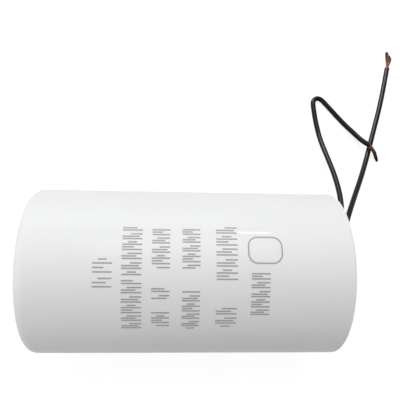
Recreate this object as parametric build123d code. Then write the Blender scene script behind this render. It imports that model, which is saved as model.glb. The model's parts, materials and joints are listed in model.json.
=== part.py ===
from build123d import *
import math
import os

# Motor run capacitor: a moulded cup holds a wound film element in cast resin,
# and two stranded leads leave the resin at the open mouth.
# The can lies on z = 0 along X, with its closed end at -X and its mouth at +X.
# Lengths are in millimetres, and a height in the can is measured from its closed end.

# Cup
CAN_DIAMETER = 38.0
CAN_LENGTH = 71.0
WALL_AT_MOUTH = 1.6
BASE_THICKNESS = 1.8
INSIDE_DRAFT = 0.2              # degrees
BASE_EDGE_RADIUS = 2.4
BASE_CORNER_RADIUS = 1.0        # inside, where the wall meets the base
RIM_OUTER_RADIUS = 1.1
RIM_INNER_RADIUS = 0.3
GATE_DISH_DIAMETER = 8.0
GATE_DISH_DEPTH = 0.4
GATE_STUB_DIAMETER = 1.8
GATE_STUB_HEIGHT = 0.25

# Ribs that centre the element, and feet that hold it off the base
RIB_COUNT = 6
RIB_WIDTH = 1.2
RIB_HEIGHT = 0.65               # inward from the wall at the base
RIB_CLEARANCE = 0.15            # from the tip of a rib to the element
RIB_STOP = 8.0                  # from the top of the element down to the end of a rib
RIB_ROOT = 0.8                  # how far a rib or foot runs into the wall or base
FOOT_COUNT = 4
FOOT_WIDTH = 1.4
FOOT_HEIGHT = 2.0
FOOT_START = 5.0                # radius
FOOT_END_GAP = 2.5              # from the rim of the element inward

# Element: film wound on a hollow core, wrapped, and metal-sprayed on both ends
CORE_DIAMETER = 6.0
CORE_BORE = 4.0
WRAP_THICKNESS = 0.35
SPRAY_THICKNESS = 0.6

# Resin
RESIN_RECESS = 2.0              # from the rim down to the resin
RESIN_COVER = 6.0               # from the resin down to the element
MENISCUS_RADIUS = 0.6           # of the resin's climb at the wall
MENISCUS_LIP = 0.02             # straight end of that climb

# Leads
LEAD_DIAMETER = 1.5
CONDUCTOR_DIAMETER = 0.95
CONDUCTOR_GAP = 0.05            # from a bare conductor to the sprayed face beside it
STUB_LENGTH = 3.4               # insulation left on lead 1 in the resin
INSULATION_STOP = 2.5           # from the bottom of the core up to the insulation of lead 2
TAIL_OVERRUN = 1.25             # of a bare conductor past the middle of its solder joint
CONDUCTOR_BEND_RADIUS = 1.1
LEAD_BEND_RADIUS = 4.0          # of lead 2 where it swings into the core
LEAD_ENTRY = 3.0                # of lead 2 straight down into the resin, before it swings
SOLDER_DIAMETER = 5.0
SOLDER_HEIGHT = 1.5
SOLDER_EDGE_GAP = 2.8           # from the rim of the film inward to the solder
TURN_SHARE = 0.45               # of the shorter run, taken by each arc of a free lead

# Free leads: where each starts, to the side of the can's axis and above it, its first
# run, and the points after that up to the end of the insulation. A point is given by
# how far it is past the rim, to the side, and above where a lead lies on the floor.
EXIT_HEIGHT = 0.3               # above the resin
FLOOR_CLEARANCE = 0.05
LEAD_1_EXIT = (8.0, -3.5)
LEAD_1_FIRST_RUN = (5.1, 1.8, -0.3)
LEAD_1_POINTS = [
    (6.9, 14.2, 12.8),
    (7.8, 21.6, 9.6),
    (7.9, 29.0, 6.0),
    (7.2, 36.2, 2.7),
    (6.1, 42.8, 0.4),
    (5.3, 48.4, 0.0),
    (4.9, 52.6, 0.0),
    (4.7, 56.4, 0.0),
    (7.0, 57.2, 0.0),
    (9.6, 54.0, 0.0),
    (13.9, 48.6, 0.0),
    (17.4, 44.6, 0.6),
    (20.8, 40.7, 1.7),
]
LEAD_2_EXIT = (2.0, -2.0)
LEAD_2_FIRST_RUN = (5.2, 2.2, -0.6)
LEAD_2_POINTS = [
    (6.5, 8.8, 13.6),
    (9.4, 16.4, 9.9),
    (13.3, 23.6, 5.7),
    (17.3, 30.8, 2.1),
    (20.6, 38.2, 0.0),
    (23.1, 45.8, 0.0),
    (25.7, 53.4, 0.0),
    (28.0, 61.2, 0.0),
    (29.9, 68.4, 0.0),
]

# Bare ends: how far each section lies past the insulation, to its left and
# above it, and its diameter
BUNDLE_1 = [
    (0.0, 0.0, 0.0, CONDUCTOR_DIAMETER),
    (1.3, -0.1, -0.4, 1.1),
    (2.6, -0.1, -1.5, 1.1),
    (3.6, -0.3, -2.3, 0.9),
    (4.6, -0.6, -2.85, 0.6),
]
BUNDLE_2 = [
    (0.0, 0.0, 0.0, CONDUCTOR_DIAMETER),
    (1.6, -0.2, 0.0, 1.2),
    (3.3, -0.3, 0.1, 1.5),
    (4.7, 0.2, 0.0, 1.1),
    (6.0, 1.0, -0.1, 0.6),
]

# Sizes and places that follow from the ones above
CAN_RADIUS = CAN_DIAMETER / 2
MOUTH_RADIUS = CAN_RADIUS - WALL_AT_MOUTH
RESIN_TOP = CAN_LENGTH - RESIN_RECESS
ELEMENT_BOTTOM = BASE_THICKNESS + FOOT_HEIGHT
ELEMENT_TOP = RESIN_TOP - RESIN_COVER
FILM_BOTTOM = ELEMENT_BOTTOM + SPRAY_THICKNESS
FILM_TOP = ELEMENT_TOP - SPRAY_THICKNESS
TAIL_OFFSET = CONDUCTOR_DIAMETER / 2 + CONDUCTOR_GAP


def inner_radius(height):
    """The radius of the inside wall at a height."""
    return MOUTH_RADIUS - (CAN_LENGTH - height) * math.tan(math.radians(INSIDE_DRAFT))


RIB_TIP_RADIUS = inner_radius(BASE_THICKNESS) - RIB_HEIGHT
ELEMENT_RADIUS = RIB_TIP_RADIUS - RIB_CLEARANCE
FILM_RADIUS = ELEMENT_RADIUS - WRAP_THICKNESS
JOINT_RADIUS = FILM_RADIUS - SOLDER_EDGE_GAP - SOLDER_DIAMETER / 2


def lie_down(shape):
    """Lay a shape that was drawn upright, with the can's closed end on z = 0."""
    return Pos(-CAN_LENGTH / 2, 0, CAN_RADIUS) * Rot(0, 90, 0) * shape


def along_can(height):
    """The x of the lying can at a height above its closed end."""
    return height - CAN_LENGTH / 2


def spun(corners, radii):
    """Turn corners, each a radius and a height, round the upright axis. Each is rounded by its radius."""
    points = [(across, 0, height) for across, height in corners]
    outline = FilletPolyline(*points, radius=radii, close=True)
    return revolve(make_face(outline), axis=Axis.Z)


def ring(outside, inside, bottom, top):
    """A ring round the upright axis, from its outside and inside radius."""
    section = Circle(outside) - Circle(inside)
    return Pos(0, 0, bottom) * extrude(section, top - bottom)


def cup():
    corners = [
        (0, 0),
        (CAN_RADIUS, 0),
        (CAN_RADIUS, CAN_LENGTH),
        (MOUTH_RADIUS, CAN_LENGTH),
        (inner_radius(BASE_THICKNESS), BASE_THICKNESS),
        (0, BASE_THICKNESS),
    ]
    radii = [0, BASE_EDGE_RADIUS, RIM_OUTER_RADIUS, RIM_INNER_RADIUS, BASE_CORNER_RADIUS, 0]
    dish = Pos(0, 0, GATE_DISH_DEPTH / 2) * Cylinder(GATE_DISH_DIAMETER / 2, GATE_DISH_DEPTH)
    stub_middle = GATE_DISH_DEPTH - GATE_STUB_HEIGHT / 2
    stub = Pos(0, 0, stub_middle) * Cylinder(GATE_STUB_DIAMETER / 2, GATE_STUB_HEIGHT)
    return spun(corners, radii) - dish + stub


def centring_ribs():
    """Ribs on the inside of the wall, which keep the element in the middle."""
    bottom = BASE_THICKNESS - RIB_ROOT
    top = ELEMENT_TOP - RIB_STOP
    height = top - bottom
    band = ring(inner_radius(BASE_THICKNESS) + RIB_ROOT, RIB_TIP_RADIUS, bottom, top)
    bar = Pos(CAN_RADIUS / 2, 0, bottom + height / 2) * Box(CAN_RADIUS, RIB_WIDTH, height)
    return [band & (place * bar) for place in PolarLocations(0, RIB_COUNT, start_angle=90)]


def feet():
    """Radial feet on the inside of the base, which carry the element."""
    length = ELEMENT_RADIUS - FOOT_END_GAP - FOOT_START
    height = FOOT_HEIGHT + RIB_ROOT
    foot = Box(length, FOOT_WIDTH, height)
    foot = Pos(FOOT_START + length / 2, 0, ELEMENT_BOTTOM - height / 2) * foot
    return [place * foot for place in PolarLocations(0, FOOT_COUNT, start_angle=45)]


def case():
    body = cup()
    for piece in centring_ribs() + feet():
        body += piece
    return lie_down(body)


def element():
    """Core, film roll, outer wrap and the sprayed metal on both ends."""
    core_radius = CORE_DIAMETER / 2
    pieces = {
        "winding_core": ring(core_radius, CORE_BORE / 2, ELEMENT_BOTTOM, ELEMENT_TOP),
        "film_winding": ring(FILM_RADIUS, core_radius, FILM_BOTTOM, FILM_TOP),
        "outer_wrap": ring(ELEMENT_RADIUS, FILM_RADIUS, ELEMENT_BOTTOM, ELEMENT_TOP),
        "bottom_end_spray": ring(FILM_RADIUS, core_radius, ELEMENT_BOTTOM, FILM_BOTTOM),
        "top_end_spray": ring(FILM_RADIUS, core_radius, FILM_TOP, ELEMENT_TOP),
    }
    return {name: lie_down(piece) for name, piece in pieces.items()}


def tube(path, diameter):
    section = Plane(origin=path @ 0, z_dir=path % 0) * Circle(diameter / 2)
    return sweep(section, path=path)


def solder(centre, facing):
    """A dome of solder on a sprayed face that faces +X (1) or -X (-1)."""
    half = SOLDER_DIAMETER / 2
    middle = (half * math.cos(math.pi / 4), 0, SOLDER_HEIGHT * math.sin(math.pi / 4))
    crown = ThreePointArc((half, 0, 0), middle, (0, 0, SOLDER_HEIGHT))
    outline = [Line((0, 0, 0), (half, 0, 0)), crown, Line((0, 0, SOLDER_HEIGHT), (0, 0, 0))]
    dome = revolve(make_face(outline), axis=Axis.Z)
    return Pos(*centre) * Rot(0, 90 * facing, 0) * dome


def lead_start(exit_place):
    aside, above_axis = exit_place
    return Vector(along_can(RESIN_TOP + EXIT_HEIGHT), aside, CAN_RADIUS + above_axis)


def lead_route(exit_place, first_run, points):
    start = lead_start(exit_place)
    lying = LEAD_DIAMETER / 2 + FLOOR_CLEARANCE
    rim = along_can(CAN_LENGTH)
    later = [Vector(rim + past_rim, aside, lying + above) for past_rim, aside, above in points]
    return [start, start + Vector(*first_run)] + later


def lead_1_inside():
    """Lead 1 in the resin: it meets the top sprayed face and turns down along it."""
    start = lead_start(LEAD_1_EXIT)
    out = Vector(*LEAD_1_FIRST_RUN).normalized()
    face = along_can(ELEMENT_TOP)
    bend = start - out * ((start.X - face - TAIL_OFFSET) / out.X)
    joint_height = CAN_RADIUS - math.sqrt(JOINT_RADIUS ** 2 - bend.Y ** 2)
    end = Vector(bend.X, bend.Y, joint_height - TAIL_OVERRUN)
    path = FilletPolyline(start, bend, end, radius=CONDUCTOR_BEND_RADIUS)
    conductor = tube(path, CONDUCTOR_DIAMETER)
    insulation = tube(Line(start, start - out * STUB_LENGTH), LEAD_DIAMETER) - conductor
    joint = solder((face, bend.Y, joint_height), 1) - conductor
    return insulation, conductor, joint


def lead_2_inside():
    """Lead 2 in the resin: down the middle of the core and out along the bottom sprayed face."""
    start = lead_start(LEAD_2_EXIT)
    entry = start - Vector(*LEAD_2_FIRST_RUN).normalized() * LEAD_ENTRY
    face = along_can(ELEMENT_BOTTOM)
    mouth = Vector(along_can(ELEMENT_TOP) - CORE_BORE / 2, 0, CAN_RADIUS)
    stop = Vector(face + INSULATION_STOP, 0, CAN_RADIUS)
    bend = Vector(face - TAIL_OFFSET, 0, CAN_RADIUS)
    joint_height = CAN_RADIUS + JOINT_RADIUS
    end = Vector(bend.X, 0, joint_height + TAIL_OVERRUN)
    radii = [LEAD_BEND_RADIUS, LEAD_BEND_RADIUS, CONDUCTOR_BEND_RADIUS]
    path = FilletPolyline(start, entry, mouth, bend, end, radius=radii)
    conductor = tube(path, CONDUCTOR_DIAMETER)
    cover = FilletPolyline(start, entry, mouth, stop, radius=LEAD_BEND_RADIUS)
    insulation = tube(cover, LEAD_DIAMETER) - conductor
    joint = solder((face, 0, joint_height), -1) - conductor
    return insulation, conductor, joint


def resin(case_piece, inner_pieces):
    """Resin fills what the other pieces leave free, and climbs a little at the wall."""
    wall = inner_radius(RESIN_TOP)
    inside_wall = wall + WALL_AT_MOUTH / 2
    bottom = BASE_THICKNESS / 2
    crest = RESIN_TOP + MENISCUS_RADIUS + MENISCUS_LIP
    corners = [
        (0, bottom),
        (inside_wall, bottom),
        (inside_wall, crest),
        (wall, crest),
        (wall, RESIN_TOP),
        (0, RESIN_TOP),
    ]
    radii = [0, 0, 0, 0, MENISCUS_RADIUS, 0]
    fill = lie_down(spun(corners, radii)) - case_piece
    for piece in inner_pieces:
        fill -= piece
    return fill


def corner_radii(name, route):
    """The arc at each corner of a route, from its shorter run and its turn."""
    radii = []
    for before, corner, after in zip(route, route[1:], route[2:]):
        arriving = corner - before
        leaving = after - corner
        half_turn = math.radians(arriving.get_angle(leaving)) / 2
        radii.append(TURN_SHARE * min(arriving.length, leaving.length) / math.tan(half_turn))
    print(name, "radii", [round(radius, 1) for radius in radii])
    return radii


def free_lead(name, route):
    path = FilletPolyline(*route, radius=corner_radii(name, route))
    solid = tube(path, LEAD_DIAMETER)
    expected = math.pi * LEAD_DIAMETER ** 2 / 4 * path.length
    print(name, "length", round(path.length, 1), "volume", round(solid.volume, 1), "of", round(expected, 1))
    return solid


def bare_end(route, sections):
    """The bundle of bare strands past the insulation of a free lead."""
    end = route[-1]
    ahead = (end - route[-2]).normalized()
    left = Vector(0, 0, 1).cross(ahead).normalized()
    above = ahead.cross(left)
    rings = []
    for past, aside, up, diameter in sections:
        centre = end + ahead * past + left * aside + above * up
        rings.append(Plane(origin=centre, x_dir=left, z_dir=ahead) * Circle(diameter / 2))
    return loft(rings)


def build():
    pieces = {"case": case()}
    pieces.update(element())
    for number, inside in ((1, lead_1_inside()), (2, lead_2_inside())):
        insulation, conductor, joint = inside
        pieces[f"lead_{number}_inner_insulation"] = insulation
        pieces[f"lead_{number}_inner_conductor"] = conductor
        pieces[("top" if number == 1 else "bottom") + "_solder_joint"] = joint
    inner_pieces = [piece for name, piece in pieces.items() if name != "case"]
    pieces["potting_resin"] = resin(pieces["case"], inner_pieces)
    route_1 = lead_route(LEAD_1_EXIT, LEAD_1_FIRST_RUN, LEAD_1_POINTS)
    route_2 = lead_route(LEAD_2_EXIT, LEAD_2_FIRST_RUN, LEAD_2_POINTS)
    pieces["lead_1"] = free_lead("lead_1", route_1)
    pieces["lead_2"] = free_lead("lead_2", route_2)
    pieces["lead_1_bare_end"] = bare_end(route_1, BUNDLE_1)
    pieces["lead_2_bare_end"] = bare_end(route_2, BUNDLE_2)
    return pieces


os.makedirs("parts", exist_ok=True)
for node, shape in build().items():
    export_step(shape, f"parts/{node}.step")
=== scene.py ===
import json
import math

import bmesh
import bpy
from mathutils import Matrix, Vector

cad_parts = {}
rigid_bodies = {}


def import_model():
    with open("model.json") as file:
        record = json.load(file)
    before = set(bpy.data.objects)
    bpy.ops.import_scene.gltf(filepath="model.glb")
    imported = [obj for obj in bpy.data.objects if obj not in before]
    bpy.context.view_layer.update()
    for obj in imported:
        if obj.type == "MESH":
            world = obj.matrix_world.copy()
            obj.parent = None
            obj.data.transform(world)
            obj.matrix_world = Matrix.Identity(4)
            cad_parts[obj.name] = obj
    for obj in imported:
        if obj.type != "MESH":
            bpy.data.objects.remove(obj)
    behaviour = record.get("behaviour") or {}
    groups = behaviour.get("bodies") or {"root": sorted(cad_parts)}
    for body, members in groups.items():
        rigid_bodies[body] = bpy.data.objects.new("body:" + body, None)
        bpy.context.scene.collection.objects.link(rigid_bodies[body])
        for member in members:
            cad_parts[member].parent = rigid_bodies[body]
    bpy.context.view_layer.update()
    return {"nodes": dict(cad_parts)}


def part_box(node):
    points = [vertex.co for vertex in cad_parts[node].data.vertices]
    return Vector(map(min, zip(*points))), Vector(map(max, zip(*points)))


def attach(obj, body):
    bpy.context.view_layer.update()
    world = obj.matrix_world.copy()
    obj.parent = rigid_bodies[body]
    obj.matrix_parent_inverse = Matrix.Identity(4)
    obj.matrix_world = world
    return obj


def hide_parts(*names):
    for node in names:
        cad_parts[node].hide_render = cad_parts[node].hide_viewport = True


bl_info = {
    "name": "Motor run capacitor",
    "version": (1, 0, 0),
    "blender": (4, 5, 0),
    "location": "View3D > Sidebar > Capacitor",
    "description": "Finishes a motor run capacitor: its moulded can, print, resin, leads and bare strands",
    "category": "Object",
}

for leftover in list(bpy.data.objects):
    bpy.data.objects.remove(leftover)
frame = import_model()

MM = 0.001

# The can, measured on its case. Its radius is rounded to 0.1 mm, because the case has facets.
CASE_LOW, CASE_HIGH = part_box("case")
RIM_X = CASE_HIGH.x
CAN_RADIUS = round((CASE_HIGH.y - CASE_LOW.y) / 2, 4)
CAN_AXIS = Vector((0.0, 0.0, CAN_RADIUS))

# The resin's face: how far below the rim it is, and the radius of the can's wall there
RESIN_RECESS = 2.0 * MM
RESIN_WALL_RADIUS = 17.385 * MM
# The cast face is slightly wavy, with waves about 20 mm long to the side and 23 mm long
# upwards: the radians of each in a metre and its phase, and their height by the skin's
WAVE_ASIDE = (310, 1.0)
WAVE_UP = (270, 0.4)
WAVE_SHARE = 0.4

# Leads, with how far past the resin's level face a route starts, and how far above the floor
# a lead lies
LEAD_DIAMETER = 1.5 * MM
EXIT_HEIGHT = 0.3 * MM
FLOOR_CLEARANCE = 0.05 * MM
LEAD_CURVE_STEPS = 14           # from one point of the route to the next
LEAD_ROUND_STEPS = 6            # in a quarter of the lead's section

# Each lead in millimetres: its exit, to the side of the can's axis and above it, its first
# run along, aside and up, and its other points, by how far they are past the rim, to the
# side and above a lead that lies on the floor. They are the model's, but the first two of
# these points are moved along the can, by up to 1 mm, to where the photograph shows them.
# Then come the modelled tube's length, how far the copper is browned where it leaves the
# insulation, and the tufts of bare strands. A tuft has its number of strands and its
# sections, by how far they are past the insulation, to its left and above it, with the
# tuft's diameter there.
LEADS = {
    1: {
        "exit": (8.0, -3.5),
        "first_run": (5.1, 1.8, -0.3),
        "points": [
            (6.3, 14.2, 12.8), (7.7, 21.6, 9.6), (7.9, 29.0, 6.0), (7.2, 36.2, 2.7), (6.1, 42.8, 0.4),
            (5.3, 48.4, 0.0), (4.9, 52.6, 0.0), (4.7, 56.4, 0.0), (7.0, 57.2, 0.0), (9.6, 54.0, 0.0),
            (13.9, 48.6, 0.0), (17.0, 45.0, 0.5), (18.9, 42.3, 1.3), (20.9, 40.8, 1.7),
        ],
        "length": 79.5,
        "browned": 0.2,
        "tufts": [
            (20, [(-0.8, 0, 0, 0.9), (0.0, 0, 0, 0.95), (1.15, -0.38, -0.5, 1.15), (2.25, -0.6, -1.3, 1.2),
                  (3.2, -1.1, -2.05, 1.1), (3.9, -1.6, -2.35, 0.95), (4.5, -2.0, -2.65, 0.5)]),
            (9, [(-0.8, 0, 0, 0.6), (0.0, -0.2, 0, 0.65), (0.42, -0.75, -0.25, 0.7),
                 (0.63, -1.28, -0.5, 0.65), (0.84, -1.79, -0.64, 0.45)]),
        ],
    },
    2: {
        "exit": (2.0, -2.0),
        "first_run": (5.2, 2.2, -0.6),
        "points": [
            (5.5, 8.8, 13.6), (9.2, 16.4, 9.9), (13.3, 23.6, 5.7), (17.3, 30.8, 2.1), (20.6, 38.2, 0.0),
            (23.1, 45.8, 0.0), (25.7, 53.4, 0.0), (28.0, 61.2, 0.0), (29.9, 68.4, 0.0),
        ],
        "length": 78.4,
        "browned": 0.0,
        "tufts": [
            (20, [(-0.8, 0, 0, 0.85), (0.0, 0.02, 0, 0.85), (1.48, 0.16, 0, 0.95), (3.11, 0.4, 0.05, 1.1),
                  (4.55, 0.72, 0.05, 1.1), (5.98, 1.0, -0.1, 0.75)]),
            (14, [(-0.8, 0, 0, 0.8), (0.0, -0.02, 0, 0.8), (1.6, -0.24, 0, 0.9), (3.3, -0.42, 0.05, 1.05),
                  (4.2, -0.2, 0.05, 0.75), (4.95, 0.3, 0, 0.3)]),
        ],
    },
}

# Strands: the points along each, the sides of its section, the turn from one strand to the
# next round the tuft, which packs them evenly, and how late in its length a strand strays
STRAND_POINTS = 28
STRAND_SIDES = 8
STRAND_TURN = math.radians(137.5)
STRAY_POWER = 2.5

# Print, in millimetres: rows of hatched strokes. Each row has its middle along the can, its
# height and how widely its strokes are set, and then the stretches that it fills round the
# can, from the top towards -Y.
PRINT_ROWS = [
    (15.0, 3.9, 0.95, [(3.0, 12.3)]),
    (8.0, 4.4, 1.15, [(-6.9, 4.5), (10.4, 14.9)]),
    (0.65, 3.7, 0.95, [(-6.3, 2.3), (6.8, 15.5)]),
    (-5.6, 3.7, 1.0, [(-6.2, 2.2), (6.2, 8.7), (11.4, 14.9)]),
    (-11.5, 4.1, 1.0, [(-6.6, 3.6), (4.6, 15.5)]),
    (-17.4, 3.9, 1.6, [(0.3, 7.1)]),
]
# Strokes of the hatching, in turn: the share of the row's height that each fills, its shift
# by shares of that height, and the step to the next by shares of the pitch
HATCHING = [
    (1.0, 0.0, 0.9), (0.58, -0.21, 0.9), (1.0, 0.0, 1.3), (0.72, 0.14, 0.85), (0.72, -0.14, 0.85),
    (1.0, 0.0, 1.45), (0.58, 0.21, 0.9), (0.86, -0.07, 0.85), (1.0, 0.0, 1.2), (0.45, 0.0, 0.8),
]
# The frame's middle along and round the can, its length and width, and its corners' radius
PRINT_FRAME = (16.0, -1.8, 7.0, 5.6, 2.0)
FRAME_CORNER_PIECES = 5
FRAME_OVERLAP = 0.1             # of two pieces in a corner, by shares of a stroke's width
STROKE_STEPS = 7                # points across a stroke, so that it bends round the can

# Finishes of what is sealed in the resin: the material's name, the nodes that have it, its
# two colours, the size of its grain and its shader's settings
SEALED_FINISHES = [
    # Plastic film with a coat of metal, wound: a smooth dull silver
    ("wound_metallised_film", ("film_winding",), "#A4A8AE", "#8F949B", 1 * MM,
     {"Roughness": 0.25, "Metallic": 0.6}),
    # Clear plastic film, wrapped: many layers look greyish white and smooth
    ("wrapped_clear_film", ("outer_wrap",), "#D6D9DA", "#C9CDCF", 2 * MM, {"Roughness": 0.2}),
    # Polypropylene tube, extruded: off-white and satin
    ("extruded_polypropylene_tube", ("winding_core",), "#D0D0CC", "#C4C4BF", 1 * MM, {"Roughness": 0.45}),
    # Zinc, sprayed on in molten drops: grey, rough and matt
    ("arc_sprayed_zinc", ("top_end_spray", "bottom_end_spray"), "#8E9194", "#75787B", 0.3 * MM,
     {"Roughness": 0.75, "Metallic": 1.0}),
    # Tin solder, melted on: a light grey metal with a slight grain
    ("tin_solder", ("top_solder_joint", "bottom_solder_joint"), "#B9B9BD", "#A9A9AE", 0.8 * MM,
     {"Roughness": 0.3, "Metallic": 1.0}),
]
SEALED_GRAIN_DEPTH = 1 / 20     # of the grain's bumps, by shares of its size

# Camera, from the outline of the can and leads in the photograph
CAMERA_FROM_AXIS = Vector((-4.375, 0.0, 119.757)) * MM
CAMERA_TURN = math.radians(8.0)             # about the can's axis, towards -Y
CAMERA_YAW = 0.066
CAMERA_PITCH = -0.127
CAMERA_ROLL = -0.008
FOCAL_PIXELS = 491.9
IMAGE_PIXELS = 400
PRINCIPAL_ROW = 208
SENSOR = 36.0
NEAREST_SEEN = 0.005
FURTHEST_SEEN = 20.0

# Studio paper, in metres, and how much light it seems to give where it is seen
FLOOR_REACH = 0.9
WALL_CURVE = 1.8
WALL_HEIGHT = 2.0
CURVE_STEP = 10                 # degrees from one ring of the curve to the next
PAPER_SPOKES = 96
PAPER_MOTTLE = 0.05
PAPER_GLOW = 0.8

# Lamps, in metres: the place, what it faces, its width and height, and its power in watts
OBJECT_MIDDLE = (0.02, 0.0, 0.02)
LEADS_MIDDLE = (0.035, 0.06, 0.003)
STREAK_PLACE = (0.015, 0.0056, 0.037)
LAMPS = {
    "key_softbox": ((0.02, 0.42, 0.86), OBJECT_MIDDLE, (0.4, 0.4), 2.65),
    "back_softbox": ((-0.24, 0.90, 0.46), OBJECT_MIDDLE, (0.9, 0.5), 4.3),
    "fill_softbox": ((-0.36, -0.20, 0.32), OBJECT_MIDDLE, (0.3, 0.3), 0.9),
    "mouth_softbox": ((1.10, 0.10, 0.15), OBJECT_MIDDLE, (1.2, 0.28), 5.5),
    "leads_softbox": ((-0.38, 0.95, 0.78), LEADS_MIDDLE, (0.6, 0.6), 25.0),
    "streak_lamp": ((0.117, 0.434, 0.442), STREAK_PLACE, (0.038, 0.005), 0.65),
}
ROOM_LIGHT = 0.35


# Small helpers

def colour(code):
    """A linear colour from an sRGB hex code."""
    channels = [int(code[place:place + 2], 16) / 255 for place in (1, 3, 5)]
    linear = [c / 12.92 if c <= 0.04045 else ((c + 0.055) / 1.055) ** 2.4 for c in channels]
    return (*linear, 1.0)


def add_node(tree, kind, inputs=None, **settings):
    """Add a node, set it up, and give each named input a value or a link."""
    node = tree.nodes.new(kind)
    for name, value in settings.items():
        setattr(node, name, value)
    for name, value in (inputs or {}).items():
        if isinstance(value, bpy.types.NodeSocket):
            tree.links.new(value, node.inputs[name])
        else:
            node.inputs[name].default_value = value
    return node


def link_object(name, data):
    """A new object in the scene."""
    piece = bpy.data.objects.new(name, data)
    bpy.context.scene.collection.objects.link(piece)
    return piece


def finished(piece, slot, *replaced):
    """Let a finished piece ride on the part's one body, in place of the nodes it stands for."""
    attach(piece, "root")
    if replaced:
        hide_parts(*replaced)


def dress(node_name, material):
    """Give a node that stays as modelled its material."""
    node = frame["nodes"][node_name]
    node.data.materials.clear()
    node.data.materials.append(material)


# Materials

def new_material(name):
    """A material with an empty node tree."""
    material = bpy.data.materials.new(name)
    material.use_nodes = True
    material.node_tree.nodes.clear()
    return material


def close_material(material, surface):
    """Give the material its surface."""
    add_node(material.node_tree, "ShaderNodeOutputMaterial", {"Surface": surface})
    return material


def surface_noise(tree, size, detail=2.0):
    """Noise on object coordinates with features of a real size."""
    place = add_node(tree, "ShaderNodeTexCoord")
    noise = add_node(tree, "ShaderNodeTexNoise",
                     {"Vector": place.outputs["Object"], "Scale": 1 / size, "Detail": detail})
    return noise.outputs["Fac"]


def varied_surface(tree, share, first, second, height, depth, settings):
    """A surface that goes from one colour to another by the share, with bumps of a real depth."""
    tone = add_node(tree, "ShaderNodeMix", {"Factor": share, "A": first, "B": second}, data_type="RGBA")
    bump = add_node(tree, "ShaderNodeBump", {"Height": height, "Distance": depth, "Strength": 1.0})
    inputs = {"Base Color": tone.outputs["Result"], "Normal": bump.outputs["Normal"], **settings}
    return add_node(tree, "ShaderNodeBsdfPrincipled", inputs).outputs["BSDF"]


def moulded_polypropylene(finish):
    """White polypropylene, injection moulded: a soft satin white under a thin clear gloss.

    The melt's flow leaves its white slightly uneven. The mould's grain is too fine to show,
    so it is drawn at 0.35 mm.
    """
    material = new_material("moulded_polypropylene")
    tree = material.node_tree
    flow = surface_noise(tree, 14 * MM)
    grain = surface_noise(tree, 0.35 * MM, detail=3.0)
    return close_material(material, varied_surface(
        tree, flow, finish.plastic, finish.plastic_flow, grain, 0.004 * MM,
        {"Roughness": 0.5, "IOR": 1.49, "Specular IOR Level": 0.08,
         "Coat Weight": 0.1, "Coat Roughness": 0.06, "Coat IOR": 1.49}))


def pad_printed_ink(finish):
    """Grey pad-printed ink, a thin film that dries matt and a little uneven."""
    material = new_material("pad_printed_ink")
    tree = material.node_tree
    cover = surface_noise(tree, 0.5 * MM, detail=3.0)
    return close_material(material, varied_surface(
        tree, cover, finish.ink, finish.thin_ink, cover, 0.002 * MM, {"Roughness": 0.55, "IOR": 1.5}))


def cast_polyurethane(finish):
    """Cream polyurethane resin, poured and cured: a cloudy face with a soft sheen and fine pits."""
    material = new_material("cast_polyurethane")
    tree = material.node_tree
    cloud = surface_noise(tree, 5 * MM, detail=4.0)
    pits = surface_noise(tree, 0.8 * MM, detail=3.0)
    return close_material(material, varied_surface(
        tree, cloud, finish.resin, finish.resin_cloud, pits, 0.01 * MM, {"Roughness": 0.3, "IOR": 1.5}))


def extruded_vinyl(finish):
    """Black flexible PVC, extruded over the strands: satin, with a fine drawn skin.

    The skin's texture is too fine to show, so it is drawn at 0.25 mm.
    """
    material = new_material("extruded_vinyl")
    tree = material.node_tree
    bloom = surface_noise(tree, 3 * MM)
    skin = surface_noise(tree, 0.25 * MM, detail=3.0)
    return close_material(material, varied_surface(
        tree, bloom, finish.insulation, finish.insulation_bloom, skin, 0.006 * MM,
        {"Roughness": 0.3, "IOR": 1.53, "Specular IOR Level": 0.12}))


def drawn_copper(finish):
    """Bare copper strands, drawn, then browned by air and heat towards their cut ends."""
    material = new_material("drawn_copper")
    tree = material.node_tree
    aged = add_node(tree, "ShaderNodeAttribute", attribute_name="browned").outputs["Fac"]
    mottle = surface_noise(tree, 0.5 * MM, detail=3.0)
    shifted = add_node(tree, "ShaderNodeMath", {0: mottle, 1: 0.5, 2: aged}, operation="MULTIPLY_ADD")
    browned = add_node(tree, "ShaderNodeMapRange",
                       {"Value": shifted.outputs[0], "From Min": 0.45, "From Max": 1.2})
    return close_material(material, varied_surface(
        tree, browned.outputs[0], finish.copper, finish.browned_copper, mottle, 0.01 * MM,
        {"Metallic": 1.0, "Roughness": 0.5}))


def sealed_finish(name, first, second, size, settings):
    """A finish for a piece that is sealed in the resin, with a grain of a real size."""
    material = new_material(name)
    tree = material.node_tree
    grain = surface_noise(tree, size, detail=3.0)
    return close_material(material, varied_surface(
        tree, grain, colour(first), colour(second), grain, size * SEALED_GRAIN_DEPTH, settings))


# Node trees for what repeats

def new_tree(name, sockets):
    """A modifier tree with a geometry input and output and the named inputs."""
    tree = bpy.data.node_groups.new(name, "GeometryNodeTree")
    tree.is_modifier = True
    tree.interface.new_socket("Geometry", in_out="OUTPUT", socket_type="NodeSocketGeometry")
    tree.interface.new_socket("Geometry", in_out="INPUT", socket_type="NodeSocketGeometry")
    for socket_name, kind in sockets:
        tree.interface.new_socket(socket_name, in_out="INPUT", socket_type=kind)
    return tree, add_node(tree, "NodeGroupInput").outputs


def close_tree(tree, geometry, material):
    """Realize the instances and set the material, and end the tree."""
    real = add_node(tree, "GeometryNodeRealizeInstances", {"Geometry": geometry})
    painted = add_node(tree, "GeometryNodeSetMaterial", {"Geometry": real.outputs[0], "Material": material})
    add_node(tree, "NodeGroupOutput", {"Geometry": painted.outputs[0]})


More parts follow.
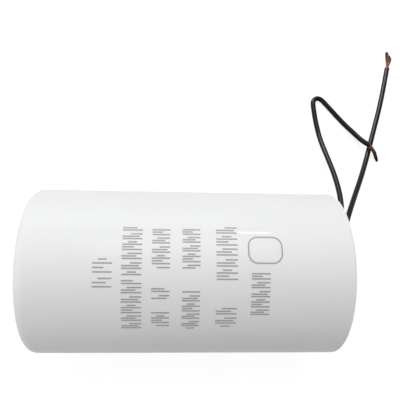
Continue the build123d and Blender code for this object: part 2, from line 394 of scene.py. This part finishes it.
def grown(name, mesh, tree, values):
    """Run a tree on a mesh and keep its result as a plain mesh object."""
    seed = link_object(name + "_seed", mesh)
    modifier = seed.modifiers.new("Grow", "NODES")
    modifier.node_group = tree
    for item in tree.interface.items_tree:
        if item.in_out == "INPUT" and item.name in values:
            modifier[item.identifier] = values[item.name]
    bpy.context.view_layer.update()
    evaluated = seed.evaluated_get(bpy.context.evaluated_depsgraph_get())
    plain = bpy.data.meshes.new_from_object(evaluated)
    seed.modifiers.remove(modifier)
    bpy.data.objects.remove(seed)
    plain.name = name
    return link_object(name, plain)


def strand_tree():
    """Copies each guide into its strands, lays them round it and sweeps them.

    Each strand lies a little further out than the one before, and further round by the
    strand turn, so that together they fill the tuft's section evenly.
    """
    tree, given = new_tree("Bare strands", [
        ("Strand diameter", "NodeSocketFloat"), ("Lay", "NodeSocketFloat"), ("Splay", "NodeSocketFloat"),
        ("Uneven ends", "NodeSocketFloat"), ("Browned", "NodeSocketFloat"), ("Seed", "NodeSocketInt"),
        ("Finish", "NodeSocketMaterial")])

    # The guide as a smooth curve, with how far along it each point is
    line = add_node(tree, "GeometryNodeMeshToCurve", {"Mesh": given["Geometry"]})
    soft = add_node(tree, "GeometryNodeCurveSplineType", {"Curve": line.outputs[0]},
                    spline_type="CATMULL_ROM")
    even = add_node(tree, "GeometryNodeResampleCurve", {"Curve": soft.outputs[0], "Count": STRAND_POINTS})
    factor = add_node(tree, "GeometryNodeSplineParameter").outputs["Factor"]
    marked = add_node(tree, "GeometryNodeStoreNamedAttribute",
                      {"Geometry": even.outputs[0], "Name": "along", "Value": factor})
    count = add_node(tree, "GeometryNodeInputNamedAttribute", {"Name": "strands"},
                     data_type="INT").outputs[0]
    spread = add_node(tree, "GeometryNodeInputNamedAttribute", {"Name": "spread"},
                      data_type="FLOAT").outputs[0]
    along = add_node(tree, "GeometryNodeInputNamedAttribute", {"Name": "along"},
                     data_type="FLOAT").outputs[0]
    copies = add_node(tree, "GeometryNodeDuplicateElements",
                      {"Geometry": marked.outputs[0], "Amount": count}, domain="SPLINE")
    number = copies.outputs["Duplicate Index"]

    # Where the strand lies round the guide
    half = add_node(tree, "ShaderNodeMath", {0: given["Strand diameter"], 1: 0.5},
                    operation="MULTIPLY").outputs[0]
    middle = add_node(tree, "ShaderNodeMath", {0: number, 1: 0.5}, operation="ADD").outputs[0]
    share = add_node(tree, "ShaderNodeMath", {0: middle, 1: count}, operation="DIVIDE").outputs[0]
    reach = add_node(tree, "ShaderNodeMath", {0: share, 1: 0.5}, operation="POWER").outputs[0]
    free = add_node(tree, "ShaderNodeMath", {0: spread, 1: half}, operation="SUBTRACT").outputs[0]
    radius = add_node(tree, "ShaderNodeMath", {0: reach, 1: free}, operation="MULTIPLY").outputs[0]
    lay = add_node(tree, "ShaderNodeMath", {0: along, 1: given["Lay"]}, operation="MULTIPLY").outputs[0]
    angle = add_node(tree, "ShaderNodeMath", {0: number, 1: STRAND_TURN, 2: lay},
                     operation="MULTIPLY_ADD").outputs[0]
    cosine = add_node(tree, "ShaderNodeMath", {0: angle}, operation="COSINE").outputs[0]
    sine = add_node(tree, "ShaderNodeMath", {0: angle}, operation="SINE").outputs[0]
    normal = add_node(tree, "GeometryNodeInputNormal").outputs[0]
    tangent = add_node(tree, "GeometryNodeInputTangent").outputs[0]
    across = add_node(tree, "ShaderNodeVectorMath", {0: tangent, 1: normal},
                      operation="CROSS_PRODUCT").outputs[0]
    first = add_node(tree, "ShaderNodeVectorMath", {0: normal, "Scale": cosine},
                     operation="SCALE").outputs[0]
    second = add_node(tree, "ShaderNodeVectorMath", {0: across, "Scale": sine},
                      operation="SCALE").outputs[0]
    round_it = add_node(tree, "ShaderNodeVectorMath", {0: first, 1: second}, operation="ADD").outputs[0]
    offset = add_node(tree, "ShaderNodeVectorMath", {0: round_it, "Scale": radius},
                      operation="SCALE").outputs[0]

    # How far it strays from there towards its end
    stray = add_node(tree, "FunctionNodeRandomValue",
                     {0: (-1, -1, -1), 1: (1, 1, 1), "ID": number, "Seed": given["Seed"]},
                     data_type="FLOAT_VECTOR")
    late = add_node(tree, "ShaderNodeMath", {0: along, 1: STRAY_POWER}, operation="POWER").outputs[0]
    loose = add_node(tree, "ShaderNodeMath", {0: late, 1: given["Splay"]}, operation="MULTIPLY").outputs[0]
    wander = add_node(tree, "ShaderNodeVectorMath", {0: stray.outputs[0], "Scale": loose},
                      operation="SCALE")
    both = add_node(tree, "ShaderNodeVectorMath", {0: offset, 1: wander.outputs[0]},
                    operation="ADD").outputs[0]
    placed = add_node(tree, "GeometryNodeSetPosition", {"Geometry": copies.outputs[0], "Offset": both})

    # Cut to an uneven length, swept, and marked with how browned it is
    shorter = add_node(tree, "FunctionNodeRandomValue",
                       {2: 0.0, 3: given["Uneven ends"], "ID": number, "Seed": given["Seed"]},
                       data_type="FLOAT")
    end = add_node(tree, "ShaderNodeMath", {0: 1.0, 1: shorter.outputs[1]}, operation="SUBTRACT").outputs[0]
    cut = add_node(tree, "GeometryNodeTrimCurve", {"Curve": placed.outputs[0], "End": end})
    section = add_node(tree, "GeometryNodeCurvePrimitiveCircle",
                       {"Resolution": STRAND_SIDES, "Radius": half})
    tube = add_node(tree, "GeometryNodeCurveToMesh",
                    {"Curve": cut.outputs[0], "Profile Curve": section.outputs[0], "Fill Caps": True})
    brown = add_node(tree, "ShaderNodeMath", {0: along, 1: given["Browned"]}, operation="ADD").outputs[0]
    browned = add_node(tree, "GeometryNodeStoreNamedAttribute",
                       {"Geometry": tube.outputs[0], "Name": "browned", "Value": brown})
    close_tree(tree, browned.outputs[0], given["Finish"])
    return tree


def print_tree():
    """Sets a thin stroke of ink on each point and wraps them all round the can."""
    tree, given = new_tree("Print round the can", [
        ("Can radius", "NodeSocketFloat"), ("Ink", "NodeSocketFloat"), ("Finish", "NodeSocketMaterial")])

    # The strokes, laid flat
    patch = add_node(tree, "GeometryNodeMeshCube",
                     {"Size": (1, 1, 1), "Vertices X": 2, "Vertices Y": STROKE_STEPS, "Vertices Z": 2})
    size = add_node(tree, "GeometryNodeInputNamedAttribute", {"Name": "size"},
                    data_type="FLOAT_VECTOR").outputs[0]
    turn = add_node(tree, "GeometryNodeInputNamedAttribute", {"Name": "turn"},
                    data_type="FLOAT_VECTOR").outputs[0]
    stood = add_node(tree, "GeometryNodeInstanceOnPoints",
                     {"Points": given["Geometry"], "Instance": patch.outputs["Mesh"], "Scale": size,
                      "Rotation": turn})
    real = add_node(tree, "GeometryNodeRealizeInstances", {"Geometry": stood.outputs[0]})

    # Wrapped round the can's axis: Y becomes an angle, and Z the height above the wall
    place = add_node(tree, "GeometryNodeInputPosition").outputs[0]
    parts = add_node(tree, "ShaderNodeSeparateXYZ", {0: place}).outputs
    swing = add_node(tree, "ShaderNodeMath", {0: parts["Y"], 1: given["Can radius"]},
                     operation="DIVIDE").outputs[0]
    lifted = add_node(tree, "ShaderNodeMath", {0: parts["Z"], 1: given["Ink"], 2: given["Can radius"]},
                      operation="MULTIPLY_ADD").outputs[0]
    sine = add_node(tree, "ShaderNodeMath", {0: swing}, operation="SINE").outputs[0]
    cosine = add_node(tree, "ShaderNodeMath", {0: swing}, operation="COSINE").outputs[0]
    aside = add_node(tree, "ShaderNodeMath", {0: lifted, 1: sine}, operation="MULTIPLY").outputs[0]
    back = add_node(tree, "ShaderNodeMath", {0: aside, 1: -1.0}, operation="MULTIPLY").outputs[0]
    up = add_node(tree, "ShaderNodeMath", {0: lifted, 1: cosine, 2: given["Can radius"]},
                  operation="MULTIPLY_ADD").outputs[0]
    target = add_node(tree, "ShaderNodeCombineXYZ", {"X": parts["X"], "Y": back, "Z": up}).outputs[0]
    wrapped = add_node(tree, "GeometryNodeSetPosition", {"Geometry": real.outputs[0], "Position": target})
    close_tree(tree, wrapped.outputs[0], given["Finish"])
    return tree


# Shapes

def lead_points(lead):
    """The route of a lead in metres, from the resin to the end of its insulation."""
    aside, above = lead["exit"]
    start = Vector((RIM_X - RESIN_RECESS + EXIT_HEIGHT, aside * MM, CAN_RADIUS + above * MM))
    lying = LEAD_DIAMETER / 2 + FLOOR_CLEARANCE
    later = [Vector((RIM_X + past * MM, aside * MM, lying + above * MM))
             for past, aside, above in lead["points"]]
    return [start, start + Vector(lead["first_run"]) * MM] + later


def make_cord(name, route, material):
    """A round lead along one smooth spline through the route."""
    line = bpy.data.curves.new(name, "CURVE")
    line.dimensions = "3D"
    spline = line.splines.new("NURBS")
    spline.points.add(len(route) - 1)
    for point, place in zip(spline.points, route):
        point.co = (*place, 1.0)
    spline.order_u = 3
    spline.use_endpoint_u = True
    spline.resolution_u = LEAD_CURVE_STEPS
    line.bevel_depth = LEAD_DIAMETER / 2
    line.bevel_resolution = LEAD_ROUND_STEPS
    line.use_fill_caps = True
    line.materials.append(material)
    return link_object(name, line)


def tuft_guides(route, tufts):
    """Guides for the strands as a mesh of edges, each point with its tuft's spread and strands."""
    end = route[-1]
    ahead = (end - route[-2]).normalized()
    left = Vector((0, 0, 1)).cross(ahead).normalized()
    above = ahead.cross(left)
    places, edges, spreads, strands = [], [], [], []
    for count, sections in tufts:
        first = len(places)
        for past, aside, up, diameter in sections:
            places.append(end + (ahead * past + left * aside + above * up) * MM)
            spreads.append(diameter / 2 * MM)
            strands.append(count)
        edges += [(number, number + 1) for number in range(first, len(places) - 1)]
    mesh = bpy.data.meshes.new("guides")
    mesh.from_pydata(places, edges, [])
    mesh.attributes.new("spread", "FLOAT", "POINT").data.foreach_set("value", spreads)
    mesh.attributes.new("strands", "INT", "POINT").data.foreach_set("value", strands)
    return mesh


def hatched_rows(rows, stroke, pitch):
    """Middle, length, width and turn of every stroke, on the can's wall laid flat."""
    strokes = []
    for middle, height, openness, stretches in rows:
        for start, stop in stretches:
            place = start + stroke / 2
            while place < stop:
                share, shift, step = HATCHING[len(strokes) % len(HATCHING)]
                strokes.append((middle + shift * height, place, share * height, stroke, 0.0))
                place += step * pitch * openness
    return strokes


def rounded_frame(middle, aside, length, width, corner, stroke):
    """The strokes of a plain frame with round corners."""
    strokes = []
    for side in (-1, 1):
        strokes.append((middle, aside + side * width / 2, length - 2 * corner, stroke, 0.0))
        strokes.append((middle + side * length / 2, aside, stroke, width - 2 * corner, 0.0))
    turn = math.pi / 2 / FRAME_CORNER_PIECES
    piece = 2 * corner * math.tan(turn / 2) + stroke * FRAME_OVERLAP
    for number in range(4 * FRAME_CORNER_PIECES):
        angle = (number + 0.5) * turn
        across, up = math.cos(angle), math.sin(angle)
        strokes.append((middle + math.copysign(length / 2 - corner, across) + corner * across,
                        aside + math.copysign(width / 2 - corner, up) + corner * up,
                        piece, stroke, angle + math.pi / 2))
    return strokes


def stroke_points(strokes):
    """A mesh of points, one for each stroke, with its size and turn."""
    mesh = bpy.data.meshes.new("strokes")
    mesh.from_pydata([(along * MM, round_it * MM, 0.0) for along, round_it, *_ in strokes], [], [])
    sizes = mesh.attributes.new("size", "FLOAT_VECTOR", "POINT")
    turns = mesh.attributes.new("turn", "FLOAT_VECTOR", "POINT")
    for size, turn, (_, _, length, width, angle) in zip(sizes.data, turns.data, strokes):
        size.vector = (length * MM, width * MM, 1.0)
        turn.vector = (0.0, 0.0, angle)
    return mesh


def resin_rise(aside, up, radius, exits, settings):
    """How far a point of the cast face stands above the modelled one."""
    rise = settings.skin
    climb = settings.wall_climb
    gap = max(0.0, RESIN_WALL_RADIUS - radius)
    if gap < climb:
        rise += climb - math.sqrt(climb ** 2 - (climb - gap) ** 2)
    for exit_aside, exit_up in exits:
        away = math.hypot(aside - exit_aside, up - exit_up) - LEAD_DIAMETER / 2
        rise += settings.lead_climb * math.exp(-max(0.0, away) / settings.lead_climb)
    wave = math.sin(aside * WAVE_ASIDE[0] + WAVE_ASIDE[1]) * math.sin(up * WAVE_UP[0] + WAVE_UP[1])
    return rise + settings.skin * WAVE_SHARE * wave


def resin_mesh(exits, settings):
    """The cast face as a closed skin: level, risen at the wall and round each lead."""
    rings, spokes = settings.resin_rings, settings.resin_spokes
    level = RIM_X - RESIN_RECESS
    made = bmesh.new()

    def face_vertex(radius, angle):
        aside, up = radius * math.cos(angle), radius * math.sin(angle)
        height = level + resin_rise(aside, up, radius, exits, settings)
        return made.verts.new((height, aside, CAN_RADIUS + up))

    def back_vertex(radius, angle):
        aside, up = radius * math.cos(angle), radius * math.sin(angle)
        return made.verts.new((level - settings.skin_depth, aside, CAN_RADIUS + up))

    def circle(vertex, radius):
        return [vertex(radius, 2 * math.pi * spoke / spokes) for spoke in range(spokes)]

    face_centre = face_vertex(0.0, 0.0)
    face = [circle(face_vertex, RESIN_WALL_RADIUS * ring / rings) for ring in range(1, rings + 1)]
    back_centre = back_vertex(0.0, 0.0)
    back = circle(back_vertex, RESIN_WALL_RADIUS)
    for centre, circles in ((face_centre, face), (back_centre, [back])):
        fill_circles(made, centre, circles)
    edge = face[-1]
    for spoke in range(spokes):
        after = (spoke + 1) % spokes
        made.faces.new((edge[spoke], back[spoke], back[after], edge[after]))
    bmesh.ops.recalc_face_normals(made, faces=made.faces)
    return smooth_mesh("resin_skin", made)


def fill_circles(made, centre, circles):
    """Faces from the centre out to the last of the circles."""
    spokes = len(circles[0])
    for spoke in range(spokes):
        after = (spoke + 1) % spokes
        made.faces.new((centre, circles[0][spoke], circles[0][after]))
        for inner, outer in zip(circles, circles[1:]):
            made.faces.new((inner[spoke], outer[spoke], outer[after], inner[after]))


def smooth_mesh(name, made):
    """The finished mesh of what was made in bmesh, shaded smooth."""
    mesh = bpy.data.meshes.new(name)
    made.to_mesh(mesh)
    made.free()
    mesh.shade_smooth()
    return mesh


# Settings

LENGTH = {"subtype": "DISTANCE", "unit": "LENGTH"}
COLOUR = {"subtype": "COLOR", "size": 4, "min": 0.0, "max": 1.0}


class CapacitorFinishSettings(bpy.types.PropertyGroup):
    """Colours of what shows, each with the one that it varies towards"""
    plastic: bpy.props.FloatVectorProperty(
        name="Plastic", description="White of the moulded can", default=colour("#F3F4F4"), **COLOUR)
    plastic_flow: bpy.props.FloatVectorProperty(
        name="Plastic flow", description="White where the melt flowed", default=colour("#EFF0EF"), **COLOUR)
    ink: bpy.props.FloatVectorProperty(
        name="Ink", description="Grey of the print", default=colour("#97989A"), **COLOUR)
    thin_ink: bpy.props.FloatVectorProperty(
        name="Thin ink", description="Grey of the print where it is thin", default=colour("#B2B3B4"),
        **COLOUR)
    resin: bpy.props.FloatVectorProperty(
        name="Resin", description="Cream of the cast resin", default=colour("#E6DFCC"), **COLOUR)
    resin_cloud: bpy.props.FloatVectorProperty(
        name="Resin cloud", description="Cream where the resin is cloudy", default=colour("#DCD4BD"),
        **COLOUR)
    insulation: bpy.props.FloatVectorProperty(
        name="Insulation", description="Black of the leads", default=colour("#030304"), **COLOUR)
    insulation_bloom: bpy.props.FloatVectorProperty(
        name="Insulation bloom", description="Black where the skin is duller", default=colour("#080809"),
        **COLOUR)
    copper: bpy.props.FloatVectorProperty(
        name="Copper", description="Colour of the bare strands", default=colour("#8E6654"), **COLOUR)
    browned_copper: bpy.props.FloatVectorProperty(
        name="Browned copper", description="Colour of the strands where they have browned",
        default=colour("#402A20"), **COLOUR)


class CapacitorPrintSettings(bpy.types.PropertyGroup):
    """Sizes of the print"""
    stroke: bpy.props.FloatProperty(
        name="Stroke", description="Width of a printed stroke", default=0.28 * MM, **LENGTH)
    pitch: bpy.props.FloatProperty(
        name="Pitch", description="Distance from one stroke to the next, on average", default=0.62 * MM,
        **LENGTH)
    ink: bpy.props.FloatProperty(
        name="Ink", description="Thickness of a stroke, half of it above the wall", default=0.08 * MM,
        **LENGTH)


class CapacitorResinSettings(bpy.types.PropertyGroup):
    """Sizes of the resin's face"""
    resin_rings: bpy.props.IntProperty(
        name="Rings", description="Rings of the resin's face", default=90)
    resin_spokes: bpy.props.IntProperty(
        name="Spokes", description="Spokes of the resin's face", default=220)
    skin: bpy.props.FloatProperty(
        name="Skin", description="Height of the cast face above the modelled one", default=0.04 * MM,
        **LENGTH)
    skin_depth: bpy.props.FloatProperty(
        name="Skin depth", description="Depth of the skin below the modelled face", default=0.4 * MM,
        **LENGTH)
    wall_climb: bpy.props.FloatProperty(
        name="Climb at the wall", description="Rise of the resin at the wall", default=0.6 * MM, **LENGTH)
    lead_climb: bpy.props.FloatProperty(
        name="Climb at a lead", description="Rise of the resin round a lead", default=0.45 * MM, **LENGTH)


class CapacitorStrandSettings(bpy.types.PropertyGroup):
    """Sizes of the bare strands"""
    diameter: bpy.props.FloatProperty(
        name="Strand", description="Diameter of one copper strand", default=0.2 * MM, **LENGTH)
    lay: bpy.props.FloatProperty(
        name="Lay", description="Turn of the strands over the bare length", default=1.3,
        subtype="ANGLE", unit="ROTATION")
    splay: bpy.props.FloatProperty(
        name="Splay", description="How far a strand's end strays", default=0.08 * MM, **LENGTH)
    uneven: bpy.props.FloatProperty(
        name="Uneven ends", description="Share of the length that a strand may lack", default=0.08,
        subtype="FACTOR")


# Stage

def white_in_view(tree):
    """1 for what the camera, a reflection or a refraction sees, 0 for what lights the object."""
    path = add_node(tree, "ShaderNodeLightPath").outputs
    seen = add_node(tree, "ShaderNodeMath", {0: path["Is Camera Ray"], 1: path["Is Glossy Ray"]},
                    operation="MAXIMUM")
    return add_node(tree, "ShaderNodeMath", {0: seen.outputs[0], 1: path["Is Transmission Ray"]},
                    operation="MAXIMUM").outputs[0]


def studio_paper():
    """Matt grey paper that glows up to white where it is seen, and keeps the shadows on it."""
    material = new_material("studio_paper")
    tree = material.node_tree
    tone = add_node(tree, "ShaderNodeMix",
                    {"Factor": surface_noise(tree, PAPER_MOTTLE), "A": colour("#A9A9A9"),
                     "B": colour("#A4A4A4")}, data_type="RGBA")
    paper = add_node(tree, "ShaderNodeBsdfDiffuse", {"Color": tone.outputs["Result"]})
    glow = add_node(tree, "ShaderNodeEmission", {"Color": colour("#FFFFFF"), "Strength": PAPER_GLOW})
    dark = add_node(tree, "ShaderNodeEmission", {"Color": colour("#000000"), "Strength": 0.0})
    extra = add_node(tree, "ShaderNodeMixShader",
                     {0: white_in_view(tree), 1: dark.outputs[0], 2: glow.outputs[0]})
    both = add_node(tree, "ShaderNodeAddShader", {0: paper.outputs[0], 1: extra.outputs[0]})
    return close_material(material, both.outputs[0])


def make_backdrop():
    """A round sheet of white paper that curves up into a low wall."""
    profile = [(FLOOR_REACH, 0.0)]
    for degrees in range(CURVE_STEP, 91, CURVE_STEP):
        turn = math.radians(degrees)
        profile.append((FLOOR_REACH + WALL_CURVE * math.sin(turn), WALL_CURVE * (1 - math.cos(turn))))
    profile.append((FLOOR_REACH + WALL_CURVE, WALL_HEIGHT))
    made = bmesh.new()
    middle = made.verts.new((0.0, 0.0, 0.0))
    rings = [[made.verts.new((radius * math.cos(2 * math.pi * spoke / PAPER_SPOKES),
                              radius * math.sin(2 * math.pi * spoke / PAPER_SPOKES), height))
              for spoke in range(PAPER_SPOKES)] for radius, height in profile]
    fill_circles(made, middle, rings)
    mesh = smooth_mesh("floor", made)
    mesh.materials.append(studio_paper())
    link_object("floor", mesh)


def make_world(scene):
    """The light of the room, from all sides."""
    world = bpy.data.worlds.new("studio")
    scene.world = world
    world.use_nodes = True
    tree = world.node_tree
    tree.nodes.clear()
    room = add_node(tree, "ShaderNodeBackground", {"Color": colour("#FBFBFC"), "Strength": ROOM_LIGHT})
    add_node(tree, "ShaderNodeOutputWorld", {"Surface": room.outputs[0]})


def make_lamp(name, place, target, size, power):
    """A flat lamp that faces its target."""
    lamp = bpy.data.lights.new(name, "AREA")
    lamp.shape = "RECTANGLE"
    lamp.size, lamp.size_y = size
    lamp.energy = power
    holder = link_object(name, lamp)
    holder.location = place
    holder.rotation_euler = (Vector(target) - Vector(place)).to_track_quat("-Z", "Y").to_euler()
    holder.visible_camera = False
    return holder


def make_lamps():
    """Four soft boxes and two helpers, for the sheen on the leads and the streak on the can."""
    lamps = {}
    for name, facts in LAMPS.items():
        lamps[name] = make_lamp(name, *facts)
    lamps["mouth_softbox"].visible_glossy = False       # the leads keep their dark side
    lamps["streak_lamp"].visible_diffuse = False        # it gives the streak and no second shadow
    leads = bpy.data.collections.new("leads")
    for number in LEADS:
        leads.objects.link(bpy.data.objects[f"lead_{number}_cord"])
    lamps["leads_softbox"].light_linking.receiver_collection = leads    # a sheen on the leads alone


def make_camera(scene):
    """A camera that stands where the photograph was taken from."""
    lens = bpy.data.cameras.new("camera")
    lens.sensor_width = SENSOR
    lens.lens = FOCAL_PIXELS / IMAGE_PIXELS * SENSOR
    lens.shift_y = (PRINCIPAL_ROW - IMAGE_PIXELS / 2) / IMAGE_PIXELS
    lens.clip_start = NEAREST_SEEN
    lens.clip_end = FURTHEST_SEEN
    camera = link_object("camera", lens)
    camera.matrix_world = (
        Matrix.Translation(CAN_AXIS) @ Matrix.Rotation(CAMERA_TURN, 4, "X")
        @ Matrix.Translation(CAMERA_FROM_AXIS) @ Matrix.Rotation(-CAMERA_YAW, 4, "Y")
        @ Matrix.Rotation(-CAMERA_PITCH, 4, "X") @ Matrix.Rotation(-CAMERA_ROLL, 4, "Z"))
    scene.camera = camera


# Operators

class CAPACITOR_OT_can(bpy.types.Operator):
    """Give the moulded can and what is sealed in it their materials"""
    bl_idname = "capacitor.can"
    bl_label = "Moulded can"

    def execute(self, context):
        finish = context.scene.capacitor_finish
        dress("case", moulded_polypropylene(finish))
        dress("potting_resin", cast_polyurethane(finish))
        for name, node_names, first, second, size, settings in SEALED_FINISHES:
            material = sealed_finish(name, first, second, size, settings)
            for node_name in node_names:
                dress(node_name, material)
        vinyl, copper = extruded_vinyl(finish), drawn_copper(finish)
        for number in LEADS:
            dress(f"lead_{number}_inner_insulation", vinyl)
            dress(f"lead_{number}_inner_conductor", copper)
        return {"FINISHED"}


class CAPACITOR_OT_print(bpy.types.Operator):
    """Print plain marks round the can"""
    bl_idname = "capacitor.print"
    bl_label = "Print"

    def execute(self, context):
        settings = context.scene.capacitor_print
        stroke = settings.stroke / MM
        strokes = hatched_rows(PRINT_ROWS, stroke, settings.pitch / MM)
        strokes += rounded_frame(*PRINT_FRAME, stroke)
        piece = grown("can_print", stroke_points(strokes), print_tree(), {
            "Can radius": CAN_RADIUS, "Ink": settings.ink,
            "Finish": pad_printed_ink(context.scene.capacitor_finish)})
        finished(piece, "moulded_white")
        return {"FINISHED"}


class CAPACITOR_OT_resin(bpy.types.Operator):
    """Cast the resin's face with its climb at the wall and at the leads"""
    bl_idname = "capacitor.resin"
    bl_label = "Resin face"

    def execute(self, context):
        exits = [Vector(lead["exit"]) * MM for lead in LEADS.values()]
        mesh = resin_mesh(exits, context.scene.capacitor_resin)
        mesh.materials.append(bpy.data.materials["cast_polyurethane"])
        finished(link_object("resin_skin", mesh), "cast_resin")
        return {"FINISHED"}


class CAPACITOR_OT_leads(bpy.types.Operator):
    """Lay the two leads, with their bare strands"""
    bl_idname = "capacitor.leads"
    bl_label = "Leads and strands"

    def execute(self, context):
        settings = context.scene.capacitor_strands
        vinyl = bpy.data.materials["extruded_vinyl"]
        copper = bpy.data.materials["drawn_copper"]
        tree = strand_tree()
        for number, lead in LEADS.items():
            route = lead_points(lead)
            cord = make_cord(f"lead_{number}_cord", route, vinyl)
            finished(cord, "black_insulation", f"lead_{number}")
            strands = grown(f"lead_{number}_strands", tuft_guides(route, lead["tufts"]), tree, {
                "Strand diameter": settings.diameter, "Lay": settings.lay, "Splay": settings.splay,
                "Uneven ends": settings.uneven, "Browned": lead["browned"], "Seed": number,
                "Finish": copper})
            finished(strands, "copper_strands", f"lead_{number}_bare_end")
        return {"FINISHED"}


class CAPACITOR_OT_stage(bpy.types.Operator):
    """Set up the floor, the lamps and the camera"""
    bl_idname = "capacitor.stage"
    bl_label = "Stage"

    def execute(self, context):
        scene = context.scene
        scene.view_settings.view_transform = "Standard"
        make_backdrop()
        make_world(scene)
        make_lamps()
        make_camera(scene)
        return {"FINISHED"}


# Panel and running

OPERATORS = (
    CAPACITOR_OT_can,
    CAPACITOR_OT_print,
    CAPACITOR_OT_resin,
    CAPACITOR_OT_leads,
    CAPACITOR_OT_stage,
)

SETTINGS = {
    "capacitor_finish": CapacitorFinishSettings,
    "capacitor_print": CapacitorPrintSettings,
    "capacitor_resin": CapacitorResinSettings,
    "capacitor_strands": CapacitorStrandSettings,
}


class CAPACITOR_PT_panel(bpy.types.Panel):
    """The settings, and the steps that make the pieces"""
    bl_label = "Motor run capacitor"
    bl_space_type = "VIEW_3D"
    bl_region_type = "UI"
    bl_category = "Capacitor"

    def draw(self, context):
        for name, group in SETTINGS.items():
            for setting in group.__annotations__:
                self.layout.prop(getattr(context.scene, name), setting)
        for operator in OPERATORS:
            self.layout.operator(operator.bl_idname)


def register():
    for group in SETTINGS.values():
        bpy.utils.register_class(group)
    for operator in OPERATORS:
        bpy.utils.register_class(operator)
    bpy.utils.register_class(CAPACITOR_PT_panel)
    for name, group in SETTINGS.items():
        setattr(bpy.types.Scene, name, bpy.props.PointerProperty(type=group))


def unregister():
    for name in SETTINGS:
        delattr(bpy.types.Scene, name)
    bpy.utils.unregister_class(CAPACITOR_PT_panel)
    for operator in reversed(OPERATORS):
        bpy.utils.unregister_class(operator)
    for group in reversed(list(SETTINGS.values())):
        bpy.utils.unregister_class(group)


def main():
    register()
    bpy.ops.capacitor.can()
    bpy.ops.capacitor.print()
    bpy.ops.capacitor.resin()
    bpy.ops.capacitor.leads()
    bpy.ops.capacitor.stage()


if __name__ == "__main__":
    main()
